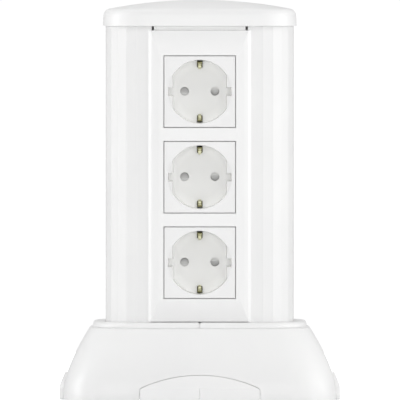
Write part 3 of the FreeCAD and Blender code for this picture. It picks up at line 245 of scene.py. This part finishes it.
finishes = {
    "painted_aluminium": finish(
        "powder_coat", ((0.79, 0.79, 0.79), (0.82, 0.82, 0.816)),
        rough=(0.34, 0.44), grain=1400, relief=(0.25, 0.00006)),
    "white_plastic": finish(
        "satin_white", ((0.825, 0.825, 0.825), (0.85, 0.85, 0.846)), **SATIN),
    "cover_white": finish(
        "cover_white", ((0.80, 0.80, 0.80), (0.822, 0.822, 0.818)), **SATIN),
    # The front and rear hatches are a lighter copy of the satin white: painted light that lifts
    # the shade low on the base.
    "hatch_white": finish(
        "hatch_white", ((0.85, 0.85, 0.85), (0.875, 0.875, 0.871)), **SATIN),
    # The floor's lighter tone at its rim and notches is painted light against the shade of the
    # walls.
    "pot_plastic": finish(
        "warm_white", ((0.83, 0.83, 0.817), (0.85, 0.85, 0.837)),
        rough=(0.30, 0.40), further=(rim_light_mask, (0.98, 0.98, 0.97)), **SMOOTH),
    # The recess ring's walls are painted near white to lift their shade; only its front ledges
    # keep the cover's tone.
    "recess_ring": finish(
        "ring_white_painted_light", ((0.96, 0.96, 0.95), (0.97, 0.97, 0.96)),
        rough=(0.55, 0.65), further=(ledge_mask, (0.80, 0.80, 0.796)), **SMOOTH),
    "shutter_plastic": finish(
        "grey_moulding", ((0.78, 0.78, 0.77), (0.84, 0.84, 0.83)), **MATT),
    # The carrier is a lighter copy of the housing's plastic: painted light that lifts the shade
    # under the cap.
    "carrier_white": finish(
        "carrier_white", ((0.92, 0.92, 0.915), (0.94, 0.94, 0.935)),
        rough=(0.34, 0.44), grain=2400, relief=(0.15, 0.00003)),
    "housing_plastic": finish(
        "plain_white", ((0.76, 0.76, 0.755), (0.80, 0.80, 0.795)), **MATT),
    "brass": finish(
        "plated_brass", ((0.68, 0.66, 0.46), (0.60, 0.57, 0.36)),
        rough=(0.22, 0.34), stretch=(1, 1, 0.15), **BRASS),
    # The earth clip's brass is painted dark to stand in for the shade of its slot, and its bead
    # bright as rubbed metal with a painted highlight.
    "earth_brass": finish(
        "brass_painted_shade_and_highlight", ((0.23, 0.22, 0.12), (0.18, 0.17, 0.09)),
        rough=(0.45, 0.55), further=(bead_wear_and_highlight_mask, (0.76, 0.75, 0.53)), **BRASS),
    "zinc_steel": finish(
        "zinc_plate", ((0.60, 0.61, 0.62), (0.70, 0.70, 0.69)),
        rough=(0.28, 0.42), grain=500, relief=(0.2, 0.00003), cloud=60.0, metallic=1.0),
    "rubber": finish(
        "black_rubber", ((0.030, 0.030, 0.030), (0.045, 0.045, 0.043)),
        rough=(0.70, 0.85), grain=1200, relief=(0.4, 0.00005)),
    "block_plastic": finish(
        "natural_moulding", ((0.72, 0.71, 0.67), (0.76, 0.75, 0.71)),
        rough=(0.35, 0.45), grain=2000, relief=(0.15, 0.00003)),
}

# Pieces with a finish of their own, by a word in their name. The others have their slot's.
OWN_FINISH = {
    "socket_pot": "recess_ring",
    "earth_clip": "earth_brass",
    "device_carrier": "carrier_white",
    "front_hatch": "hatch_white",
    "rear_hatch": "hatch_white",
    "socket_cover": "cover_white",
}
for part in frame["record"]["subparts"]:
    node = part["node"]
    look = next((own for word, own in OWN_FINISH.items() if word in node), part["material_slot"])
    for slot in frame["nodes"][node].material_slots:
        slot.material = finishes[look]


def by_ray(tree, unseen, seen):
    """One value for the light that falls on things and another for what the camera sees."""
    rays = tree.nodes.new("ShaderNodeLightPath")
    return ranged(tree, rays.outputs["Is Camera Ray"], (unseen, seen))


def pale_floor():
    """A round white floor just under the feet, which looks bright but gives off no light."""
    mesh = bpy.data.meshes.new("floor")
    turns = [2 * math.pi * corner / FLOOR_CORNERS for corner in range(FLOOR_CORNERS)]
    ring = [(FLOOR_RADIUS * math.cos(turn), FLOOR_RADIUS * math.sin(turn), -FLOOR_DROP)
            for turn in turns]
    mesh.from_pydata(ring, [], [list(range(FLOOR_CORNERS))])
    floor = bpy.data.objects.new("floor", mesh)
    bpy.context.scene.collection.objects.link(floor)
    material = bpy.data.materials.new("pale_floor")
    material.use_nodes = True
    tree = material.node_tree
    shader = tree.nodes["Principled BSDF"]
    tone = mixed(tree, noise(tree, FLOOR_CLOUD_SCALE), *FLOOR_TONES)
    link(tree, tone, shader.inputs["Base Color"])
    shader.inputs["Roughness"].default_value = FLOOR_ROUGHNESS
    shader.inputs["Emission Color"].default_value = WHITE
    link(tree, by_ray(tree, 0, FLOOR_GLOW), shader.inputs["Emission Strength"])
    mesh.materials.append(material)


def set_facing(item, azimuth, elevation, distance):
    """Puts a light or camera in the scene, at a distance from AIM and turned towards it."""
    turn = math.radians(azimuth)
    rise = math.radians(elevation)
    ray = Vector((math.sin(turn) * math.cos(rise), -math.cos(turn) * math.cos(rise),
                  math.sin(rise)))
    item.location = AIM + ray * distance
    item.rotation_mode = "QUATERNION"
    item.rotation_quaternion = ray.to_track_quat("Z", "Y")
    bpy.context.scene.collection.objects.link(item)


def soft_light(name, azimuth, elevation, distance, size, level, mirrored):
    """A large soft panel that the camera doesn't see."""
    light = bpy.data.lights.new(name, "AREA")
    light.shape = "RECTANGLE"
    light.size, light.size_y = size
    light.energy = level * (math.pi * distance) ** 2
    panel = bpy.data.objects.new(name, light)
    panel.visible_camera = False
    panel.visible_glossy = mirrored
    set_facing(panel, azimuth, elevation, distance)


def studio():
    """White surroundings and the soft panels."""
    world = bpy.data.worlds.new("studio")
    bpy.context.scene.world = world
    world.use_nodes = True
    tree = world.node_tree
    background = tree.nodes["Background"]
    background.inputs["Color"].default_value = WHITE
    link(tree, by_ray(tree, WORLD_LIGHT, BACKDROP), background.inputs["Strength"])
    for name, panel in PANELS.items():
        soft_light(name, *panel)


def camera():
    """The photograph's view: straight on, a little above, from far away."""
    data = bpy.data.cameras.new("camera")
    data.lens = LENS
    data.sensor_width = SENSOR
    data.clip_start = CLIP_NEAR
    data.clip_end = CLIP_FAR
    view = bpy.data.objects.new("camera", data)
    set_facing(view, 0, ELEVATION, PICTURE_WIDTH * LENS / SENSOR)
    bpy.context.scene.camera = view


pale_floor()
studio()
camera()
bpy.context.scene.view_settings.view_transform = "Standard"
